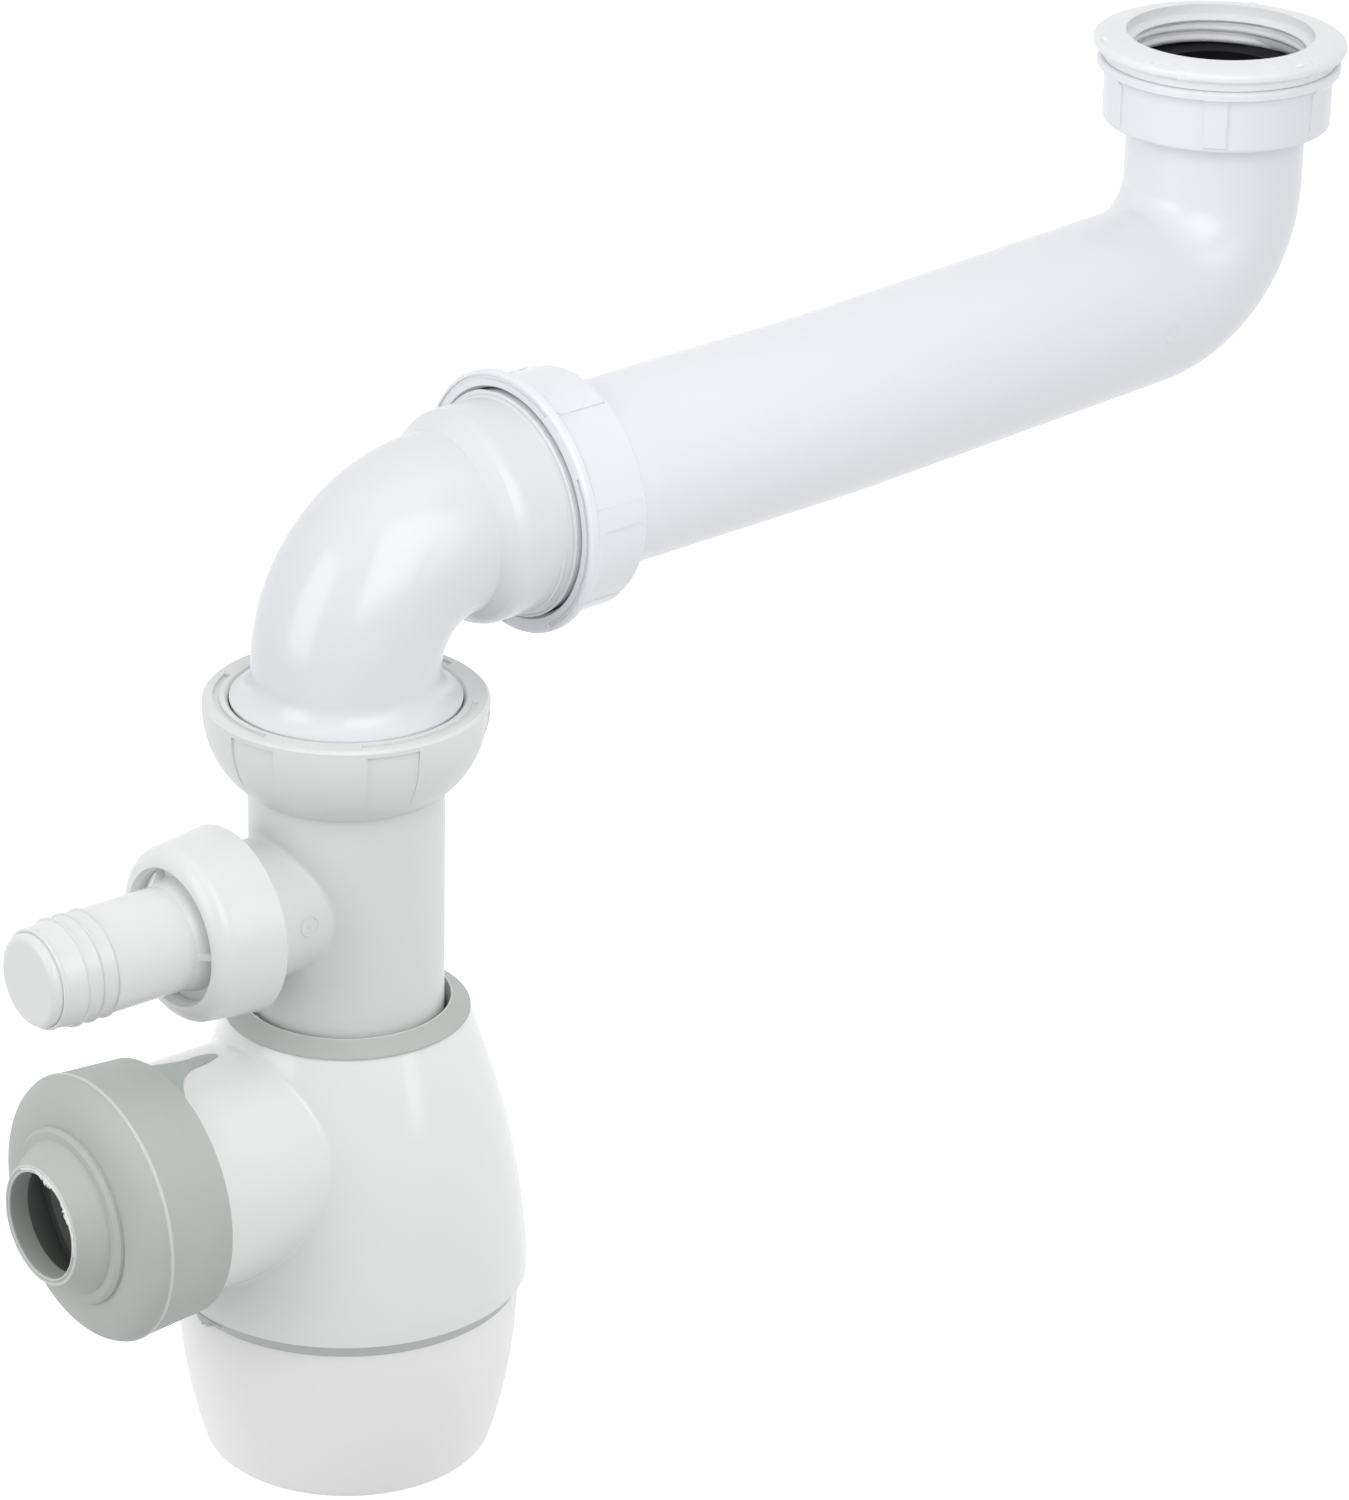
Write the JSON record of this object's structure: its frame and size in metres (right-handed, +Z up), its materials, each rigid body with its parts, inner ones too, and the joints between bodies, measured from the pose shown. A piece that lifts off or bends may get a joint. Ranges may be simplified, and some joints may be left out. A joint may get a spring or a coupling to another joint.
{
  "type": "basin trap",
  "caption": "Space-saving basin trap: an inlet union, offset arm and elbow lead to a dip tube with a hose branch in a bottle with a screwed cup and a soft side outlet.",
  "frame": {"origin": "centre of the inlet mouth, on the inlet bush's bore at the top of its rim", "axes": "+Z up along the inlet's axis, out of its mouth; -X along the arm towards the bottle; the part is symmetric in Y"},
  "size_m": [0.3491, 0.0768, 0.2716],
  "materials": {
    "gloss_white": "glossy moulded polypropylene, bluish white",
    "satin_white": "satin moulded polypropylene, neutral white",
    "grey_soft": "soft grey thermoplastic rubber",
    "black_rubber": "matt black rubber"
  },
  "bodies": {
    "bush": {"reducer_bush": "satin_white", "inlet_gasket": "black_rubber"},
    "inlet_nut": {"inlet_nut": "gloss_white"},
    "arm": {"offset_pipe": "gloss_white", "pipe_slip_ring": "satin_white", "pipe_seal": "black_rubber"},
    "pipe_nut": {"pipe_nut": "gloss_white"},
    "elbow": {"elbow": "gloss_white", "tube_gasket": "black_rubber"},
    "tube_nut": {"tube_nut": "satin_white"},
    "tube": {"dip_tube": "satin_white", "branch_gasket": "black_rubber", "hose_tail": "satin_white"},
    "branch_nut": {"branch_nut": "satin_white"},
    "neck_seal": {"neck_seal": "grey_soft"},
    "bottle": {"bottle_body": "gloss_white", "outlet_cuff": "grey_soft"},
    "cup_seal": {"cup_seal": "grey_soft"},
    "cup": {"bottle_cup": "satin_white"}
  },
  "joints": [
    {"name": "inlet_nut_turn", "type": "hinge", "parent": "bush", "child": "inlet_nut", "pos_m": [0, 0, 0], "axis": [0, 0, 1], "continuous": true},
    {"name": "arm_swivel", "type": "hinge", "parent": "bush", "child": "arm", "pos_m": [0, 0, 0], "axis": [0, 0, 1], "continuous": true},
    {"name": "pipe_nut_turn", "type": "hinge", "parent": "arm", "child": "pipe_nut", "pos_m": [-0.2413, 0, -0.06653], "axis": [0.9996, 0, 0.027], "continuous": true},
    {"name": "elbow_twist", "type": "hinge", "parent": "arm", "child": "elbow", "pos_m": [-0.2413, 0, -0.06653], "axis": [0.9996, 0, 0.027], "continuous": true},
    {"name": "tube_nut_turn", "type": "hinge", "parent": "elbow", "child": "tube_nut", "pos_m": [-0.2413, 0, 0], "axis": [0, 0, 1], "continuous": true},
    {"name": "tube_swivel", "type": "hinge", "parent": "elbow", "child": "tube", "pos_m": [-0.2413, 0, 0], "axis": [0, 0, 1], "continuous": true},
    {"name": "branch_nut_turn", "type": "hinge", "parent": "tube", "child": "branch_nut", "pos_m": [-0.2413, 0, -0.14043], "axis": [-1, 0, 0], "continuous": true},
    {"name": "bottle_slide", "type": "slide", "parent": "tube", "child": "neck_seal", "axis": [0, 0, 1], "range_m": [-0.03, 0.008]},
    {"name": "bottle_turn", "type": "hinge", "parent": "neck_seal", "child": "bottle", "pos_m": [-0.2413, 0, 0], "axis": [0, 0, 1], "continuous": true},
    {"name": "cup_drop", "type": "slide", "parent": "bottle", "child": "cup_seal", "axis": [0, 0, -1], "range_m": [0, 0.01]},
    {"name": "cup_turn", "type": "hinge", "parent": "cup_seal", "child": "cup", "pos_m": [-0.2413, 0, 0], "axis": [0, 0, -1], "range_deg": [0, 900]}
  ],
  "couplings": [
    {"joint": "cup_turn", "follows": "cup_drop", "rad_per_m": 1570.8}
  ]
}
